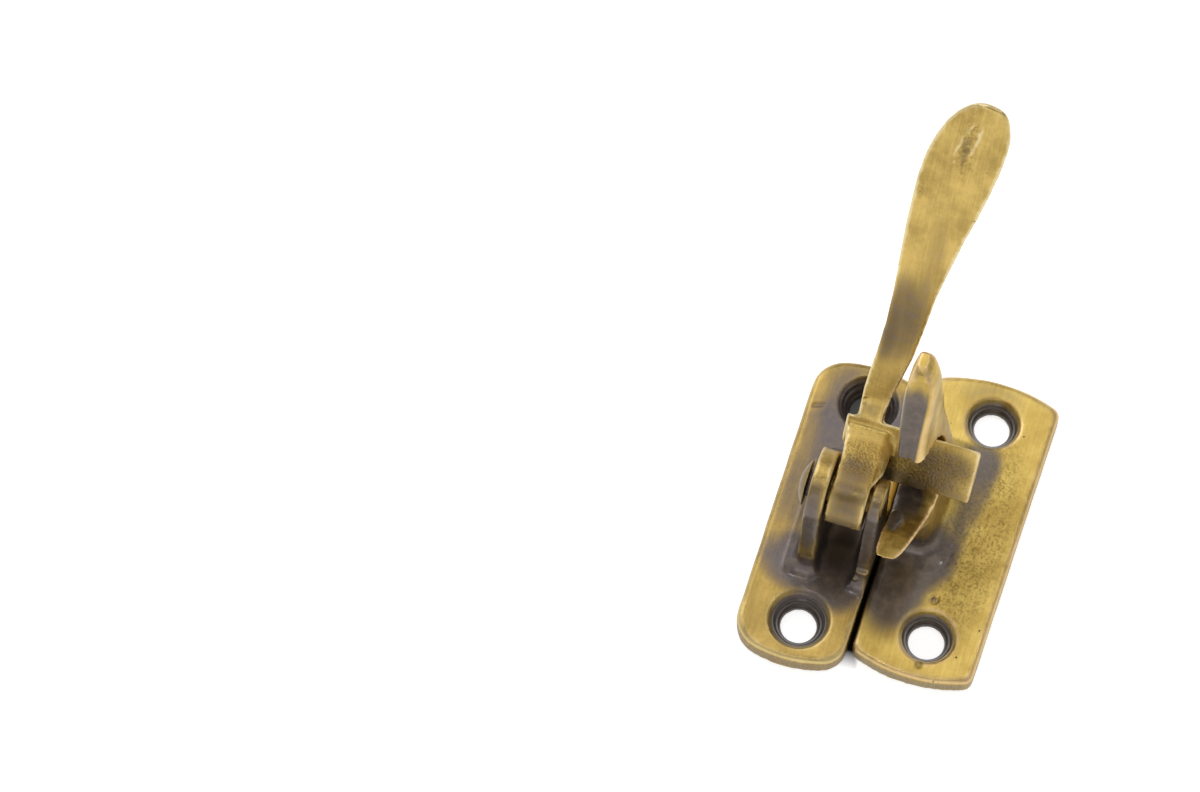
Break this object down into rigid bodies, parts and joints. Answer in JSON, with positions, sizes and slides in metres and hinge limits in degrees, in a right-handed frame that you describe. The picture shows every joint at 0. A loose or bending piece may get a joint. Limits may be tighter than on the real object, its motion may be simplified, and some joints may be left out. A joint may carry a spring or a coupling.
{
  "type": "cupboard catch latch",
  "caption": "Cast brass cupboard catch: a swinging lever on an eared bed plate hooks its cross bar into a slotted beak on a keeper plate.",
  "frame": {"origin": "midway between the two screw holes of the bed plate, on its back face", "axes": "+X from the bed plate to the keeper plate, +Y along the plates to the side the closed lever leans to, +Z out of the door face"},
  "size_m": [0.0326, 0.0498, 0.0707],
  "materials": {
    "bed_brass": "antique cast, worn edges",
    "pin_brass": "antique, rubbed",
    "lever_brass": "antique, rubbed, with rough cast patches",
    "keeper_brass": "antique cast, worn edges"
  },
  "bodies": {
    "plates": {"bed_plate": "bed_brass", "pivot_pin": "pin_brass", "keeper_plate": "keeper_brass"},
    "lever": {"lever": "lever_brass"}
  },
  "joints": [
    {"name": "lever_swing", "type": "hinge", "parent": "plates", "child": "lever", "pos_m": [0.00245, -0.0032, 0.017], "axis": [1, 0, 0], "range_deg": [0, 107]}
  ]
}
